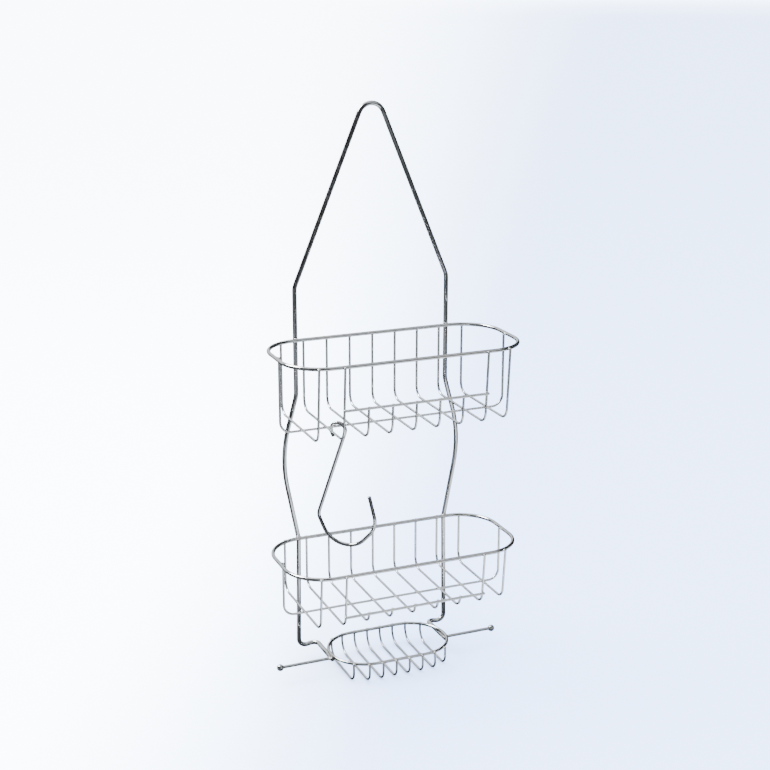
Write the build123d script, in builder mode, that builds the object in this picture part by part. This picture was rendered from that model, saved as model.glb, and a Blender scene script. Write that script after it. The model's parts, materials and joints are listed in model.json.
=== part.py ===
"""Two-basket wire shower caddy that hangs from a shower arm, with a soap dish, two cloth bars and an S-hook.

Millimetres, +Z up, +X along the baskets, -Y out into the shower. The back of the caddy is one bent wire in
the plane Y = 0. The origin is the hanger's saddle, the point inside the top bend that bears on the shower
arm. Every piece is round wire, bent cold and spot welded where it crosses its neighbour. Lengths, depths
and drops are taken to the wires' centrelines.
"""
import os
from math import atan, cos, degrees, radians, sin, sqrt, tan

from build123d import *

# Wire stock, as diameters
frame_wire = 5.0
rim_wire = 4.0
grid_wire = 2.6
rail_wire = 3.0
dish_rim_wire = 3.4
dish_grid_wire = 2.4
bar_wire = 3.4
hook_wire = 4.0

# Room left between two welded wires, and between the S-hook and the wire that carries it
weld_gap = 0.05
hang_gap = 0.35

# Rounding of the cut ends, tumbled so that they don't scratch
end_round = 0.6

# Baskets. Both rear rims are straight between their corners, where the frame's legs cross them.
basket_length = 260.0
basket_depth = 116.4
rim_corner = 42.0
upper_rim_drop = 240.5
upper_height = 77.3
upper_rail_height = 33.0
lower_rim_drop = 464.2
lower_height = 57.3
lower_rail_height = 12.3
basket_taper = 5.5
grid_count = 9
window_count = 5
grid_end_room = 25.2
grid_bend = 12.0
wire_end = 0.8

# Hanger and frame, one wire, the same on both sides of X = 0. Drops are measured down from the saddle.
leg_from_corner = 0.8
hanger_lean = 22.5
hanger_bend = 14.5
shoulder_bend = 18.0
waist_out = 18.5
waist_upper_length = 68.0
waist_lower_length = 96.0
waist_foot_below_rim = 1.8
waist_bend = 150.0
waist_end_bend = 30.0
foot_drop = 596.3
foot_splay = 1.8
foot_rise = 3.5
foot_bend = 8.0

# Arms: at its feet the frame wire turns in, then runs out under the two ends of the soap dish
foot_jog = 21.0
arm_rise = 4.0
arm_overrun = 4.0

# Soap dish
dish_depth = 80.5
dish_end_flat = 1.0
dish_rear_out = 5.25
dish_height = 20.0
dish_count = 8
dish_end_room = 13.75
dish_rear_bend = 14.0
dish_front_bend = 10.0

# Cloth bars and the balls pressed on their ends
bar_ahead = 1.8
bar_length = 56.65
ball_diameter = 7.6
ball_bore_gap = 0.05

# S-hook, drawn flat. The corners and the tip of its wide end are (across, up) from the foot of its shank.
eye_radius = 7.8
eye_curl = 25.0
eye_tail = 5.0
shank_lean = 17.0
shank_length = 100.3
hook_corners = ((14.5, -30.8), (44.2, -31.0), (65.7, -6.4))
hook_tip = (56.7, 28.0)
hook_bends = (14.0, 28.0, 24.0, 22.0)
hook_turn = 40.0
hook_bay = 2.5
hook_slide = 2.1

# Places that follow from those sizes
frame_half_width = basket_length / 2 - rim_corner - leg_from_corner
foot_half_width = frame_half_width + foot_splay
arm_half_spacing = foot_half_width - foot_jog
grid_pitch = (basket_length - 2 * grid_end_room) / (grid_count - 1)
dish_pitch = 2 * (arm_half_spacing - dish_end_room) / (dish_count - 1)
dish_out = dish_rear_out + dish_depth / 2
bar_out = dish_out + bar_ahead

os.makedirs("parts", exist_ok=True)


def save(builder, label):
    """Names a finished piece and writes it to a file of its own."""
    builder.part.label = label
    export_step(builder.part, f"parts/{label}.step")


def round_ends(wire, run, diameter):
    """Rounds the edges of a wire's two cut ends, as far as a thin wire has room for."""
    circles = wire.edges().filter_by(GeomType.CIRCLE)
    rims = [circles.sort_by_distance(run @ end)[0] for end in (0, 1)]
    fillet(rims, radius=min(end_round, diameter / 4))


def bent_wire(label, diameter, points, bends, closed=False):
    """A round wire with a bend at each inner point, or at every point when it closes into a loop."""
    with BuildPart() as wire:
        with BuildLine() as route:
            FilletPolyline(*points, radius=bends, close=closed)
        run = route.wire()
        with BuildSketch(Plane(origin=run @ 0, z_dir=run % 0)):
            Circle(diameter / 2)
        sweep(path=run)
        if not closed:
            round_ends(wire, run, diameter)
    save(wire, label)


def straight_wire(label, diameter, start, length):
    """A straight round wire along +X."""
    with BuildPart() as wire:
        run = Edge.make_line(start, Vector(*start) + Vector(length, 0, 0))
        with BuildSketch(Plane(origin=start, z_dir=(1, 0, 0))):
            Circle(diameter / 2)
        extrude(amount=length)
        round_ends(wire, run, diameter)
    save(wire, label)


def weld_offset(first_wire, second_wire):
    """Distance between the centrelines of two wires welded side by side."""
    return (first_wire + second_wire) / 2 + weld_gap


def rim_loop(label, diameter, length, depth, corner, centre_y, z):
    """A closed rim: a flat rounded rectangle of wire."""
    x = length / 2
    y = depth / 2
    corners = [(-x, centre_y + y, z), (-x, centre_y - y, z), (x, centre_y - y, z), (x, centre_y + y, z)]
    bent_wire(label, diameter, corners, corner, closed=True)


def half_depth(x, length, depth, corner, outset):
    """Half the depth at x of a rounded rectangle let out by outset all round."""
    past_corner = max(abs(x) - (length / 2 - corner), 0)
    return depth / 2 - corner + sqrt((corner + outset) ** 2 - past_corner**2)


def frame():
    """The back wire: hanger, shoulders, a waist that swells between the baskets, feet and dish arms."""
    bend_centre_z = frame_wire / 2 - hanger_bend
    lean = radians(hanger_lean)
    peak_z = bend_centre_z + hanger_bend / sin(lean)
    shoulder_z = peak_z - frame_half_width / tan(lean)
    waist_foot_z = -lower_rim_drop - waist_foot_below_rim
    waist_z = waist_foot_z + waist_lower_length
    right_side = [
        (frame_half_width, 0, shoulder_z),
        (frame_half_width, 0, waist_z + waist_upper_length),
        (frame_half_width + waist_out, 0, waist_z),
        (frame_half_width, 0, waist_foot_z),
        (foot_half_width, 0, -foot_drop),
        (arm_half_spacing, 0, foot_rise - foot_drop),
        (arm_half_spacing, -bar_out - arm_overrun, arm_rise - foot_drop),
    ]
    left_side = [(-x, y, z) for x, y, z in reversed(right_side)]
    side_bends = [shoulder_bend, waist_end_bend, waist_bend, waist_end_bend, foot_bend, foot_bend]
    bends = list(reversed(side_bends)) + [hanger_bend] + side_bends
    bent_wire("frame_wire", frame_wire, left_side + [(0, 0, peak_z)] + right_side, bends)


def basket(name, rim_drop, height, rail_height):
    """One basket: rim, cross wires outside it, the long wire under them and the front window's rail.

    The front legs lean in towards the floor, and the rear ones stand straight in the plane of the frame.
    """
    centre_y = -weld_offset(frame_wire, rim_wire) - basket_depth / 2
    rim_z = -rim_drop
    floor_z = rim_z - height
    rail_z = floor_z + rail_height
    leg_offset = weld_offset(rim_wire, grid_wire)
    rim_loop(f"{name}_rim", rim_wire, basket_length, basket_depth, rim_corner, centre_y, rim_z)
    lean = basket_taper / height
    middle = (grid_count - 1) / 2
    window_half = (window_count - 1) / 2
    for number in range(grid_count):
        place = number - middle
        x = place * grid_pitch
        reach = half_depth(x, basket_length, basket_depth, rim_corner, leg_offset)
        top_z = (rail_z if abs(place) <= window_half else rim_z) + wire_end
        points = [
            (x, centre_y + reach, rim_z + wire_end),
            (x, centre_y + reach, floor_z),
            (x, centre_y - reach + basket_taper, floor_z),
            (x, centre_y - reach + lean * (rim_z - top_z), top_z),
        ]
        bends = [grid_bend, min(grid_bend, top_z - floor_z)]
        bent_wire(f"{name}_cross_wire_{number + 1}", grid_wire, points, bends)
    end_x = basket_length / 2 - leg_offset
    long_z = floor_z - weld_offset(grid_wire, grid_wire)
    points = [
        (-end_x, centre_y, rim_z + wire_end),
        (-end_x, centre_y, long_z),
        (end_x, centre_y, long_z),
        (end_x, centre_y, rim_z + wire_end),
    ]
    bent_wire(f"{name}_long_wire", grid_wire, points, grid_bend)
    rail_half = (window_half + 1) * grid_pitch + rail_wire / 2
    leg_y = centre_y - basket_depth / 2 - leg_offset + lean * (rim_z - rail_z)
    rail_y = leg_y - weld_offset(grid_wire, rail_wire)
    straight_wire(f"{name}_front_rail", rail_wire, (-rail_half, rail_y, rail_z), 2 * rail_half)
    return centre_y, long_z


def soap_dish(arm_tip_z):
    """The dish: an oval rim that lies on the tips of the two arms, in a row of cross wires."""
    length = 2 * arm_half_spacing
    corner = (dish_depth - dish_end_flat) / 2
    rim_z = arm_tip_z + weld_offset(frame_wire, dish_rim_wire)
    floor_z = rim_z - dish_height
    leg_offset = weld_offset(dish_rim_wire, dish_grid_wire)
    rim_loop("dish_rim", dish_rim_wire, length, dish_depth, corner, -dish_out, rim_z)
    for number in range(dish_count):
        x = (number - (dish_count - 1) / 2) * dish_pitch
        reach = half_depth(x, length, dish_depth, corner, leg_offset)
        points = [
            (x, reach - dish_out, rim_z + wire_end),
            (x, reach - dish_out, floor_z),
            (x, -reach - dish_out, floor_z),
            (x, -reach - dish_out, rim_z + wire_end),
        ]
        bends = [dish_rear_bend, dish_front_bend]
        bent_wire(f"dish_cross_wire_{number + 1}", dish_grid_wire, points, bends)


def cloth_bars(bar_z):
    """Two bars welded to the outer sides of the arms, each ending in a ball with a blind bore."""
    inner_x = arm_half_spacing + frame_wire / 2 + weld_gap
    outer_x = inner_x + bar_length
    bore = bar_wire + 2 * ball_bore_gap
    for side, name, bore_side in ((-1, "left", Align.MIN), (1, "right", Align.MAX)):
        start = (min(side * inner_x, side * outer_x), -bar_out, bar_z)
        straight_wire(f"{name}_cloth_bar", bar_wire, start, bar_length)
        with BuildPart() as ball:
            with BuildSketch(Plane.XZ.offset(bar_out)) as half_section:
                with Locations((side * outer_x, bar_z)):
                    Circle(ball_diameter / 2)
                    with Locations((0, -ball_diameter / 2)):
                        Rectangle(2 * ball_diameter, ball_diameter, mode=Mode.SUBTRACT)
                    with Locations((side * weld_gap, 0)):
                        Rectangle(ball_diameter, bore, align=(bore_side, Align.CENTER), mode=Mode.SUBTRACT)
            revolve(axis=Axis((0, -bar_out, bar_z), (1, 0, 0)))
        save(ball, f"{name}_bar_ball")


def s_hook(centre_y, long_z):
    """The loose hook: an eye over the upper basket's long wire, a leaning shank and a wide open hook.

    It is turned about the vertical, so that the eye straddles its wire between two cross wires, and then
    tilted about that wire until its centre of mass is straight below, as it hangs when left alone.
    """
    eye_centre = Vector(0, (grid_wire + hook_wire) / 2 + hang_gap - eye_radius)
    with BuildLine() as outline:
        eye = CenterArc(eye_centre, eye_radius, 180 + eye_curl, -180 - eye_curl - shank_lean)
        Line(eye @ 0 - (eye % 0) * eye_tail, eye @ 0)
        shank_foot = eye @ 1 + (eye % 1) * shank_length
        wide_end = [shank_foot + Vector(*offset) for offset in (*hook_corners, hook_tip)]
        FilletPolyline(eye @ 1, shank_foot, *wide_end, radius=hook_bends)
    turn = radians(hook_turn)
    hang_point = Vector(hook_slide - hook_bay * grid_pitch, centre_y, long_z)
    upright = Plane(origin=hang_point, x_dir=(cos(turn), -sin(turn), 0), z_dir=(-sin(turn), -cos(turn), 0))
    run = outline.wire().moved(upright.location)
    hanging = run.center(CenterOf.MASS) - hang_point
    run = run.rotate(Axis(hang_point, (1, 0, 0)), degrees(atan(hanging.Y / hanging.Z)))
    with BuildPart() as hook:
        with BuildSketch(Plane(origin=run @ 0, z_dir=run % 0)):
            Circle(hook_wire / 2)
        sweep(path=run)
        round_ends(hook, run, hook_wire)
    save(hook, "s_hook")


frame()
upper_centre_y, upper_long_z = basket("upper", upper_rim_drop, upper_height, upper_rail_height)
basket("lower", lower_rim_drop, lower_height, lower_rail_height)
arm_tip_z = arm_rise - foot_drop
bar_z = arm_tip_z - (arm_rise - foot_rise) * arm_overrun / (bar_out + arm_overrun)
soap_dish(arm_tip_z)
cloth_bars(bar_z)
s_hook(upper_centre_y, upper_long_z)
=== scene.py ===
# %% [markdown]
# # A wire shower caddy
#
# The caddy hangs from the shower arm by one bent frame wire. Two wire baskets, a small soap dish and
# two cloth bars are welded to it, and a loose S-hook hangs under the upper basket. The steel itself,
# every wire with its bends, comes from the CAD model. This lesson does what comes after: the camera, the
# nuggets of metal that spot welding leaves where two wires cross, the floor, the light and the chrome.

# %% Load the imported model
import json

import bpy
from math import cos, radians, sin
from mathutils import Matrix, Vector


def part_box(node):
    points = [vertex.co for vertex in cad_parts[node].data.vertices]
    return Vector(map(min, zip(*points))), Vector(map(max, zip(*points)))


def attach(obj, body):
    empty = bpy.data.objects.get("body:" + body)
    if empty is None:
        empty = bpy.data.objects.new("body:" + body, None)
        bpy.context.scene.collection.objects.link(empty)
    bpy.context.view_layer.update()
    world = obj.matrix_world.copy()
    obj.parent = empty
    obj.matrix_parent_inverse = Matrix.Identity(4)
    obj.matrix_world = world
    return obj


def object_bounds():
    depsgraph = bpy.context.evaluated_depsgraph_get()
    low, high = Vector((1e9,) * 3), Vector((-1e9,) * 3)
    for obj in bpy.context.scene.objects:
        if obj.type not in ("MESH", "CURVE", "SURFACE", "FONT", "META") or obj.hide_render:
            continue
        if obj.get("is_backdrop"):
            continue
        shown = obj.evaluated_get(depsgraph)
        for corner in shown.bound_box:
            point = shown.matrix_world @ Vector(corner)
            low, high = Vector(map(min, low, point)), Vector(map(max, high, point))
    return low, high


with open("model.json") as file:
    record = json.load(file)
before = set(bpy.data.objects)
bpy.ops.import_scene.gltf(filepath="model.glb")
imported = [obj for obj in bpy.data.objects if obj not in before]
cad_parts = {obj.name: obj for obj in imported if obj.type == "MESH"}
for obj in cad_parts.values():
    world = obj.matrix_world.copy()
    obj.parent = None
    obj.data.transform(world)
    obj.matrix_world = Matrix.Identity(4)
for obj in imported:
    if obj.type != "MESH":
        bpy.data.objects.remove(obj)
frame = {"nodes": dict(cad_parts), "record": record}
nodes = frame["nodes"]
cad_low, cad_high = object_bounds()
cad_size = cad_high - cad_low
print("loaded", len(nodes), "wires and balls, overall", [round(side, 4) for side in cad_size])

# %% [markdown]
# ## Camera
#
# The caddy is looked at from its left and from above. The camera could be placed by eye, but a distance,
# two angles and a lens are easier to reason about. So it is placed on a ball round a point on the middle
# line of the frame, facing that point, and then slid a little to its right and down, which sets the
# caddy off the middle of the picture.

# %% Camera
azimuth = radians(-22.64)
elevation = radians(16.52)
camera_distance = 1.6197
side_step = 0.01419
rise = -0.00399
look_at = Vector((0, 0, -0.2963))
sensor_width = 36.0
lens_length = 69.72452
nearest_seen = 0.05
furthest_seen = 100

to_camera = Vector((sin(azimuth) * cos(elevation), -cos(azimuth) * cos(elevation), sin(elevation)))
camera_right = Vector((cos(azimuth), sin(azimuth), 0))
camera_up = to_camera.cross(camera_right)

camera_data = bpy.data.cameras.new("view_camera")
camera_data.sensor_width = sensor_width
camera_data.lens = lens_length
camera_data.clip_start = nearest_seen
camera_data.clip_end = furthest_seen
camera = bpy.data.objects.new("view_camera", camera_data)
bpy.context.scene.collection.objects.link(camera)
camera.location = look_at + to_camera * camera_distance + camera_right * side_step + camera_up * rise
camera.rotation_euler = Matrix((camera_right, camera_up, to_camera)).transposed().to_euler()
bpy.context.scene.camera = camera
print("lens", round(camera_data.lens, 2), "mm, camera at", [round(c, 3) for c in camera.location])

# %% [markdown]
# ## Weld nuggets
#
# Every crossing of two wires is spot welded before the plating. The two wires are pressed together
# between electrodes, the steel softens where they touch, and a little of it is squeezed out as a small
# lens between them. Without it the wires look laid on each other. A squashed ball would come close, but
# it closes to a point, while a nugget runs into its wires with a broad end. So one nugget is modelled as
# a short barrel drawn up in rings, and then copied to each crossing. Three patterns, each a little uneven
# in its own way, keep neighbours from looking alike.

# %% One nugget
nugget_sides = 12
nugget_foot, nugget_top = -1, 1
nugget_end = 0.62
nugget_rings = (0.92, 1.0, 0.92, nugget_end)
unevenness = 0.07
unevenness_alike = 0.4
unevenness_outward = 0.6


def nugget_pattern(number):
    """A barrel of radius 1 along Z, drawn up ring by ring and made a little uneven."""
    bpy.ops.object.select_all(action="DESELECT")
    bpy.ops.mesh.primitive_circle_add(
        vertices=nugget_sides, radius=nugget_end, fill_type="NGON", location=(0, 0, nugget_foot)
    )
    pattern = bpy.context.object
    pattern.name = f"nugget_pattern_{number}"
    bpy.ops.object.transform_apply(location=True, rotation=False, scale=False)
    bpy.ops.object.mode_set(mode="EDIT")
    bpy.ops.mesh.select_all(action="SELECT")
    width = nugget_end
    for ring in nugget_rings:
        lift = {"value": (0, 0, (nugget_top - nugget_foot) / len(nugget_rings))}
        bpy.ops.mesh.extrude_region_move(TRANSFORM_OT_translate=lift)
        bpy.ops.transform.resize(value=(ring / width, ring / width, 1))
        width = ring
    bpy.ops.mesh.select_all(action="SELECT")
    bpy.ops.transform.vertex_random(
        offset=unevenness, uniform=unevenness_alike, normal=unevenness_outward, seed=number
    )
    bpy.ops.mesh.normals_make_consistent(inside=False)
    bpy.ops.object.mode_set(mode="OBJECT")
    bpy.ops.object.shade_smooth()
    return pattern


patterns = [nugget_pattern(number) for number in (1, 2, 3)]
print("nugget of", len(patterns[0].data.polygons), "faces in", len(patterns), "patterns")

# %% Where a nugget goes
weld_gap = 0.00005
nugget_half_width = 0.56
nugget_half_height = 0.34
nugget_stretch = 1.35
nuggets = {}


def weld(piece, centre, across, along, wire):
    """Puts a nugget between two wires: across points from one to the other, along runs with one."""
    made = nuggets.setdefault(piece, [])
    pattern = patterns[len(made) % len(patterns)]
    copy = bpy.data.objects.new(f"{piece}_{len(made) + 1}", pattern.data.copy())
    bpy.context.scene.collection.objects.link(copy)
    axis = across.normalized()
    side = along.normalized()
    turn = Matrix((side, axis.cross(side), axis)).transposed()
    half_length = wire * nugget_half_width * nugget_stretch
    size = Matrix.Diagonal((half_length, wire * nugget_half_width, wire * nugget_half_height))
    copy.data.transform(Matrix.Translation(centre) @ (turn @ size).to_4x4())
    made.append(copy)


print("nuggets are", 2 * nugget_half_width, "of a wire wide and", 2 * nugget_half_height, "high")

# %% [markdown]
# ## Where the welds are
#
# The places could be written down by hand, but then they would be wrong as soon as a basket changed. So
# each is worked out from the wires' own boxes. A cross wire's legs stand outside the rim. At a rounded
# corner, outside isn't simply forwards or back, so the way out is taken from the rectangle that joins the
# centres of the rim's four corners. The frame's legs bend in and out, so a ray finds where one stands.

# %% Outside of a rim
x_axis = Vector((1, 0, 0))
y_axis = Vector((0, 1, 0))
z_axis = Vector((0, 0, 1))


def outward(rim, corner, place):
    """Which way is out from a rim with rounded corners, at the place on it nearest to a point."""
    low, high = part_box(rim)
    corner_and_wire = (high - low).z / 2 + corner
    inner = (high - low) / 2 - Vector((1, 1, 0)) * corner_and_wire
    offset = place - (low + high) / 2
    nearest_x = max(-inner.x, min(inner.x, offset.x))
    nearest_y = max(-inner.y, min(inner.y, offset.y))
    return (offset - Vector((nearest_x, nearest_y, offset.z))).normalized()


def weld_leg(piece, rim, corner, leg, wire):
    """Welds an upright leg, given its middle at the rim's height, to the outside of the rim."""
    out = outward(rim, corner, leg)
    weld(piece, leg - out * (wire + weld_gap) / 2, out, out.cross(z_axis), wire)


# %% Legs of the frame
frame_thickness = 2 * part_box("frame_wire")[1].y


def leg_of_frame(height):
    """How far out the middle of the frame's right leg is at a height, found by a ray from inside."""
    inner_face = nodes["frame_wire"].ray_cast(Vector((0, 0, height)), x_axis)[1]
    return inner_face.x + frame_thickness / 2


print("frame wire", round(frame_thickness, 4), "thick")

# %% Welds of the two baskets
basket_corner = 0.042

for basket in ("upper", "lower"):
    piece = f"{basket}_basket_welds"
    rim = f"{basket}_rim"
    rim_low, rim_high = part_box(rim)
    rim_middle = (rim_low + rim_high) / 2
    rim_wire = (rim_high - rim_low).z
    rail_low, rail_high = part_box(f"{basket}_front_rail")
    rail_z = (rail_low + rail_high).z / 2
    cross_wires = sorted(name for name in nodes if name.startswith(f"{basket}_cross_wire_"))
    for name in cross_wires:
        low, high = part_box(name)
        wire = (high - low).x
        x = (low.x + high.x) / 2
        rear_leg = Vector((x, high.y - wire / 2, rim_middle.z))
        front_leg = Vector((x, low.y + wire / 2, rim_middle.z))
        weld_leg(piece, rim, basket_corner, rear_leg, wire)
        if rail_low.x < x < rail_high.x:
            weld(piece, Vector((x, rail_high.y + weld_gap / 2, rail_z)), y_axis, x_axis, wire)
        else:
            weld_leg(piece, rim, basket_corner, front_leg, wire)
        weld(piece, Vector((x, rim_middle.y, low.z - weld_gap / 2)), z_axis, x_axis, wire)
    for side in (-1, 1):
        tip = Vector((side * (rim_high.x - rim_wire - weld_gap / 2), rim_middle.y, rim_middle.z))
        weld(piece, tip, x_axis, y_axis, wire)
        leg = Vector((side * leg_of_frame(rim_middle.z), rim_high.y + weld_gap / 2, rim_middle.z))
        weld(piece, leg, y_axis, x_axis, rim_wire)
    print(piece, len(nuggets[piece]))

# %% Welds of the soap dish and the cloth bars
piece = "dish_and_bar_welds"
dish_end_flat = 0.001
rim_low, rim_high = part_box("dish_rim")
rim_middle = (rim_low + rim_high) / 2
rim_wire = (rim_high - rim_low).z
dish_corner = (rim_high - rim_low).y / 2 - rim_wire / 2 - dish_end_flat / 2
for name in sorted(name for name in nodes if name.startswith("dish_cross_wire_")):
    low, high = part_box(name)
    wire = (high - low).x
    x = (low.x + high.x) / 2
    for y in (low.y + wire / 2, high.y - wire / 2):
        weld_leg(piece, "dish_rim", dish_corner, Vector((x, y, rim_middle.z)), wire)
bar_low, bar_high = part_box("right_cloth_bar")
bar_wire = (bar_high - bar_low).z
bar_middle = (bar_low + bar_high) / 2
arm_x = bar_low.x - weld_gap - frame_thickness / 2
bar_end_x = bar_low.x - weld_gap / 2
for side in (-1, 1):
    under_rim = Vector((side * arm_x, rim_middle.y, rim_low.z - weld_gap / 2))
    weld(piece, under_rim, z_axis, y_axis, rim_wire)
    weld(piece, Vector((side * bar_end_x, bar_middle.y, bar_middle.z)), x_axis, y_axis, bar_wire)
print(piece, len(nuggets[piece]))

# %% Nuggets joined, one piece for each basket and one for the dish
for pattern in patterns:
    bpy.data.objects.remove(pattern)
for piece, copies in nuggets.items():
    bpy.ops.object.select_all(action="DESELECT")
    for copy in copies:
        copy.select_set(True)
    bpy.context.view_layer.objects.active = copies[0]
    bpy.ops.object.join()
    joined = bpy.context.object
    joined.name = piece
    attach(joined, "caddy")
    print(piece, len(joined.data.polygons), "faces")

# %% [markdown]
# ## Small steps in a material
#
# A material is a chain of small steps, and the same few come back again and again. Each could be made by
# hand in the shader editor every time. Here each is written once, so that what follows reads as what it
# does, and not as a list of nodes and links.

# %% Helpers for materials
# The Mix node's sockets for colours, which come after its sockets for numbers and vectors.
first_colour = 6
second_colour = 7
mixed_colour = 2


def new_material(name):
    """A new node material, with its tree and its main shader."""
    material = bpy.data.materials.new(name)
    material.use_nodes = True
    return material, material.node_tree, material.node_tree.nodes["Principled BSDF"]


def feed(tree, socket, value):
    """Gives a socket a plain value, or links it to another node's socket."""
    if isinstance(value, bpy.types.NodeSocket):
        tree.links.new(value, socket)
    else:
        socket.default_value = value


def remap(tree, source, low, high, new_low=0.0, new_high=1.0, smooth=False):
    """The source value, moved from one range to another and held at its ends."""
    node = tree.nodes.new("ShaderNodeMapRange")
    node.interpolation_type = "SMOOTHSTEP" if smooth else "LINEAR"
    values = {"Value": source, "From Min": low, "From Max": high, "To Min": new_low, "To Max": new_high}
    for socket, value in values.items():
        feed(tree, node.inputs[socket], value)
    return node.outputs["Result"]


def calculate(tree, operation, first, second):
    """One number worked out from two."""
    node = tree.nodes.new("ShaderNodeMath")
    node.operation = operation
    feed(tree, node.inputs[0], first)
    feed(tree, node.inputs[1], second)
    return node.outputs[0]


def measure(tree, operation, place, other=None):
    """A number from a vector: its length, its distance from another, or how far it runs along it."""
    node = tree.nodes.new("ShaderNodeVectorMath")
    node.operation = operation
    feed(tree, node.inputs[0], place)
    if other is not None:
        feed(tree, node.inputs[1], other)
    return node.outputs["Value"]


def mix_colours(tree, factor, first, second):
    """Two colours mixed by a factor."""
    node = tree.nodes.new("ShaderNodeMix")
    node.data_type = "RGBA"
    feed(tree, node.inputs["Factor"], factor)
    feed(tree, node.inputs[first_colour], first)
    feed(tree, node.inputs[second_colour], second)
    return node.outputs[mixed_colour]


# %% [markdown]
# ## Floor
#
# A bright wire on a bright ground only shows by what it mirrors. In a studio the pale paper is lit and
# the room round it is dark, so a polished wire is dark across most of its width, with some bright lines.
#
# The floor here is one wide sheet just under the dish's lowest wire. Its paper has painted shade: it is
# darker and bluer near the camera and at the right, paler towards the far left, and fades into that pale
# before the horizon, so its edge doesn't show. To the chrome alone the same sheet is unlit, apart from
# round patches: three dim pools further out, a dim ring round the caddy with its own shade under the
# dish, and two lit pools, one close in front and one at the right. They draw the light lines along the
# wires.
# Black and white cards could be stood round the caddy instead, but they would get in the picture and
# throw shadows on the paper.

# %% Sheet
floor_gap = 0.0005
floor_half_size = 30.0
floor_height = cad_low.z - floor_gap

bpy.ops.object.select_all(action="DESELECT")
bpy.ops.mesh.primitive_plane_add(size=2 * floor_half_size, location=(0, 0, floor_height))
floor = bpy.context.object
floor.name = "floor"
bpy.ops.object.transform_apply(location=True, rotation=True, scale=True)
print("floor at", round(floor_height, 4))

# %% Colour of the paper, with painted shade
paper_roughness = 0.9
paper_gloss = 0.1
# Painted shade: near the camera and at the right the paper is darker and bluer than the pale far paper.
shaded_near_paper = (0.27, 0.365, 0.6, 1)
far_paper = (0.82, 0.9, 1.0, 1)
far_direction = (-0.85, 0.5, 0)
paper_shade_turn = (-0.04, 0.21)
turn_widens_from = 1.0
paper_fades_out = (14.0, 28.0)

floor_material, tree, shader = new_material("floor_paper_with_painted_shade")
shader.inputs["Roughness"].default_value = paper_roughness
shader.inputs["Specular IOR Level"].default_value = paper_gloss
place = tree.nodes.new("ShaderNodeTexCoord").outputs["Object"]
towards_far = measure(tree, "DOT_PRODUCT", place, far_direction)
distance = measure(tree, "LENGTH", place)
turn = calculate(tree, "DIVIDE", towards_far, calculate(tree, "ADD", distance, turn_widens_from))
# Painted shade: the darker, bluer paper near the camera turns into the pale far paper towards the far
# left.
paper = mix_colours(tree, remap(tree, turn, *paper_shade_turn, smooth=True), shaded_near_paper, far_paper)
paper = mix_colours(tree, remap(tree, distance, *paper_fades_out, smooth=True), paper, far_paper)
print("paper turns pale over", paper_shade_turn, "and fades out over", paper_fades_out)

# %% What the chrome mirrors of it
unlit_paper = (0.0055, 0.0057, 0.006, 1)
dim_paper = (0.038, 0.039, 0.041, 1)
lit_paper = (0.135, 0.14, 0.145, 1)
# Each patch is a middle on the floor, how far out it is full, where it has gone, and its paper.
dim_front_left = ((-0.62, -1.1), 0.18, 0.3, dim_paper)
dim_far_left = ((-1.2, -0.55), 0.35, 0.55, dim_paper)
dim_front_right = ((0.45, -0.95), 0.35, 0.5, dim_paper)
dim_ring = ((0.0, -0.02), 0.26, 0.36, dim_paper)
shade_under_dish = ((0.0, -0.08), 0.16, 0.22, unlit_paper)
lit_in_front = ((0.08, -0.46), 0.29, 0.39, lit_paper)
lit_at_right = ((0.48, -0.15), 0.17, 0.26, lit_paper)
dim_patches = (dim_front_left, dim_far_left, dim_front_right, dim_ring, shade_under_dish)
lit_patches = (lit_in_front, lit_at_right)

mirrored = unlit_paper
for middle, full_within, gone_beyond, colour in dim_patches + lit_patches:
    reach = measure(tree, "DISTANCE", place, (*middle, floor_height))
    share = remap(tree, reach, gone_beyond, full_within, smooth=True)
    mirrored = mix_colours(tree, share, mirrored, colour)
is_mirrored = tree.nodes.new("ShaderNodeLightPath").outputs["Is Glossy Ray"]
tree.links.new(mix_colours(tree, is_mirrored, paper, mirrored), shader.inputs["Base Color"])
floor.data.materials.append(floor_material)
floor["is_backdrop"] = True
print("chrome sees", len(dim_patches), "dim patches and", len(lit_patches), "lit ones")

# %% [markdown]
# ## Light
#
# The light is a soft dome, with one large lamp high on the left and behind, which gives the faint shadow
# under the dish. What the chrome mirrors is set apart from what lights the paper: a bright backdrop
# behind, a bright ceiling, a window high in front at the right, and a dim room everywhere else. The dim
# room is what draws the dark lines along the wires. Lamps could stand for the backdrop, the ceiling and
# the window, but each would light the paper as well, and the two couldn't be set one at a time.

# %% Sky
dome_light = 12.0
room_dark = 0.03
# Each light is a direction, the angles in degrees where it is full and where it has gone, and a level.
backdrop = ((-0.12, 1, 0.1), 26, 46, 1.3)
ceiling = ((-0.2, 0.35, 1), 22, 50, 1.6)
front_window = ((0.4, -0.62, 0.67), 12, 28, 0.9)
cool_tint = (0.97, 0.985, 1)


def grey(level):
    """A cool grey of that brightness."""
    return (*(level * share for share in cool_tint), 1)


world = bpy.data.worlds.new("soft_room")
bpy.context.scene.world = world
world.use_nodes = True
tree = world.node_tree
direction = tree.nodes.new("ShaderNodeTexCoord").outputs["Generated"]
room = grey(room_dark)
for towards, full_angle, none_angle, level in (backdrop, ceiling, front_window):
    along = measure(tree, "DOT_PRODUCT", direction, Vector(towards).normalized())
    share = remap(tree, along, cos(radians(none_angle)), cos(radians(full_angle)), smooth=True)
    room = mix_colours(tree, share, room, grey(level))
is_mirrored = tree.nodes.new("ShaderNodeLightPath").outputs["Is Glossy Ray"]
seen = mix_colours(tree, is_mirrored, grey(dome_light), room)
tree.links.new(seen, tree.nodes["Background"].inputs["Color"])
print("sky", world.name)

# %% Lamp
lamp_place = (-1.3, 0.9, 1.5)
lamp_width = 1.2
lamp_power = 150

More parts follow.
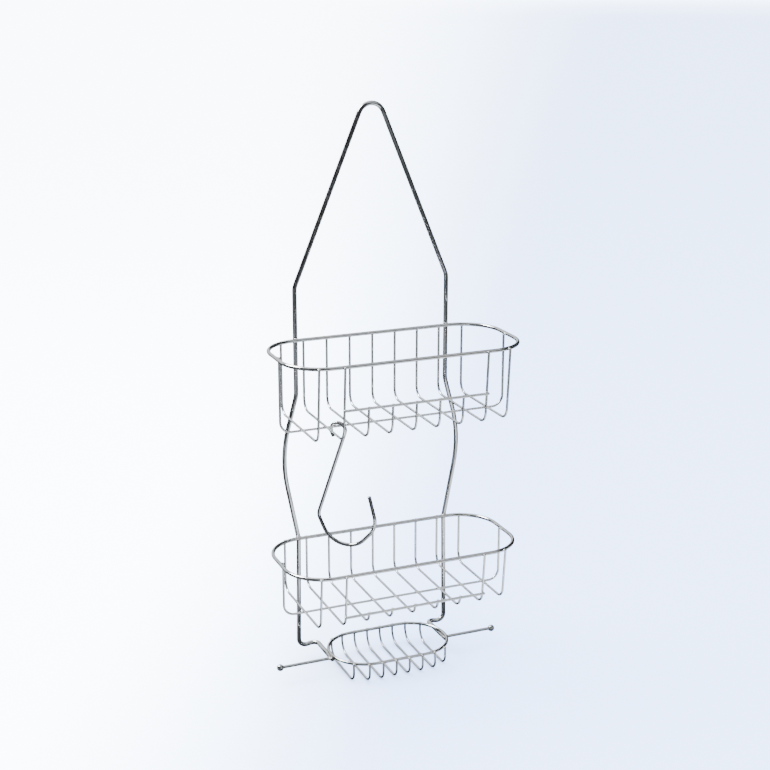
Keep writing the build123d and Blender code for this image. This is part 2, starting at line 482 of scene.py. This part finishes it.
lamp_data = bpy.data.lights.new("key_lamp", "AREA")
lamp_data.shape = "SQUARE"
lamp_data.size = lamp_width
lamp_data.energy = lamp_power
key_lamp = bpy.data.objects.new("key_lamp", lamp_data)
bpy.context.scene.collection.objects.link(key_lamp)
key_lamp.location = lamp_place
key_lamp.rotation_euler = (key_lamp.location - look_at).to_track_quat("Z", "Y").to_euler()
print("lamp at", [round(c, 2) for c in key_lamp.location])

# %% [markdown]
# ## Chrome
#
# All the metal is bright chrome plate on steel wire. A perfect mirror would look like a drawing, because
# real plate is never quite even: it follows the fine draw marks of the wire, it swells and thins in slow
# waves, and it is hazier where the current was weak. So the finish has one colour that wanders a little
# between a cool and a warm grey, a polish that comes and goes, and two depths of bump. An image of worn
# metal could be wrapped round the wires, but it would stretch in every bend, so the finish is made of
# noise that is worked out from the place in space. The thin grid wires are racked in bulk and come out a
# little hazier than the frame wire.

# %% How chrome is made
tint_patch = 0.035
tint_detail = 3
tint_turn = (0.35, 0.68)
haze_patch = 0.009
haze_detail = 5
haze_turn = (0.3, 0.75)
bump_detail = 2


def noise(tree, place, size, detail):
    """Soft noise whose patches are about as wide as the size."""
    node = tree.nodes.new("ShaderNodeTexNoise")
    node.inputs["Scale"].default_value = 1 / size
    node.inputs["Detail"].default_value = detail
    tree.links.new(place, node.inputs["Vector"])
    return node.outputs["Fac"]


def chrome(name, cool, warm, polish, waves, grain):
    """Bright plate that wanders in colour and polish. Waves and grain are each a size and a depth."""
    material, tree, shader = new_material(name)
    place = tree.nodes.new("ShaderNodeTexCoord").outputs["Object"]
    shader.inputs["Metallic"].default_value = 1

    tint = tree.nodes.new("ShaderNodeValToRGB")
    for element, position, colour in zip(tint.color_ramp.elements, tint_turn, (cool, warm)):
        element.position = position
        element.color = colour
    tree.links.new(noise(tree, place, tint_patch, tint_detail), tint.inputs[0])
    tree.links.new(tint.outputs[0], shader.inputs["Base Color"])

    haze = noise(tree, place, haze_patch, haze_detail)
    tree.links.new(remap(tree, haze, *haze_turn, *polish), shader.inputs["Roughness"])

    normal = None
    for size, depth in (waves, grain):
        bump = tree.nodes.new("ShaderNodeBump")
        bump.inputs["Strength"].default_value = 1
        bump.inputs["Distance"].default_value = depth
        tree.links.new(noise(tree, place, size, bump_detail), bump.inputs["Height"])
        if normal:
            tree.links.new(normal, bump.inputs["Normal"])
        normal = bump.outputs["Normal"]
    tree.links.new(normal, shader.inputs["Normal"])
    return material


# %% Four finishes
heavy_chrome = chrome(
    "heavy_wire_chrome",
    cool=(0.60, 0.62, 0.65, 1),
    warm=(0.66, 0.66, 0.66, 1),
    polish=(0.04, 0.12),
    waves=(0.004, 0.00004),
    grain=(0.0006, 0.000006),
)
grid_chrome = chrome(
    "grid_wire_chrome",
    cool=(0.66, 0.68, 0.71, 1),
    warm=(0.72, 0.72, 0.72, 1),
    polish=(0.12, 0.24),
    waves=(0.003, 0.00003),
    grain=(0.0005, 0.000006),
)
fittings_chrome = chrome(
    "fittings_chrome",
    cool=(0.50, 0.52, 0.54, 1),
    warm=(0.56, 0.56, 0.56, 1),
    polish=(0.05, 0.14),
    waves=(0.003, 0.00003),
    grain=(0.0005, 0.000005),
)
weld_chrome = chrome(
    "weld_chrome",
    cool=(0.58, 0.60, 0.62, 1),
    warm=(0.66, 0.65, 0.63, 1),
    polish=(0.18, 0.38),
    waves=(0.0009, 0.00005),
    grain=(0.0003, 0.00001),
)
print("finishes:", heavy_chrome.name, grid_chrome.name, fittings_chrome.name, weld_chrome.name)

# %% Chrome on the wires, the balls and the welds
finish_of_slot = {
    "chrome_heavy_wire": heavy_chrome,
    "chrome_grid_wire": grid_chrome,
    "chrome_fittings": fittings_chrome,
}
slot_of_node = {row["node"]: row["material_slot"] for row in frame["record"]["subparts"]}
for name, node in nodes.items():
    for slot in node.material_slots:
        slot.material = finish_of_slot[slot_of_node[name]]
for piece in nuggets:
    bpy.data.objects[piece].data.materials.append(weld_chrome)
print("chrome on", {finish.name: finish.users for finish in (*finish_of_slot.values(), weld_chrome)})

# %% [markdown]
# ## Sizes
#
# The nuggets sit between the wires, so the finished model has to be exactly as large as the CAD model.
# Its size is printed, to be read beside the CAD model's size printed at the start, and the lesson ends.

# %% Size of the finished model
low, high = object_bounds()
print("visual model", [round(side, 4) for side in high - low])
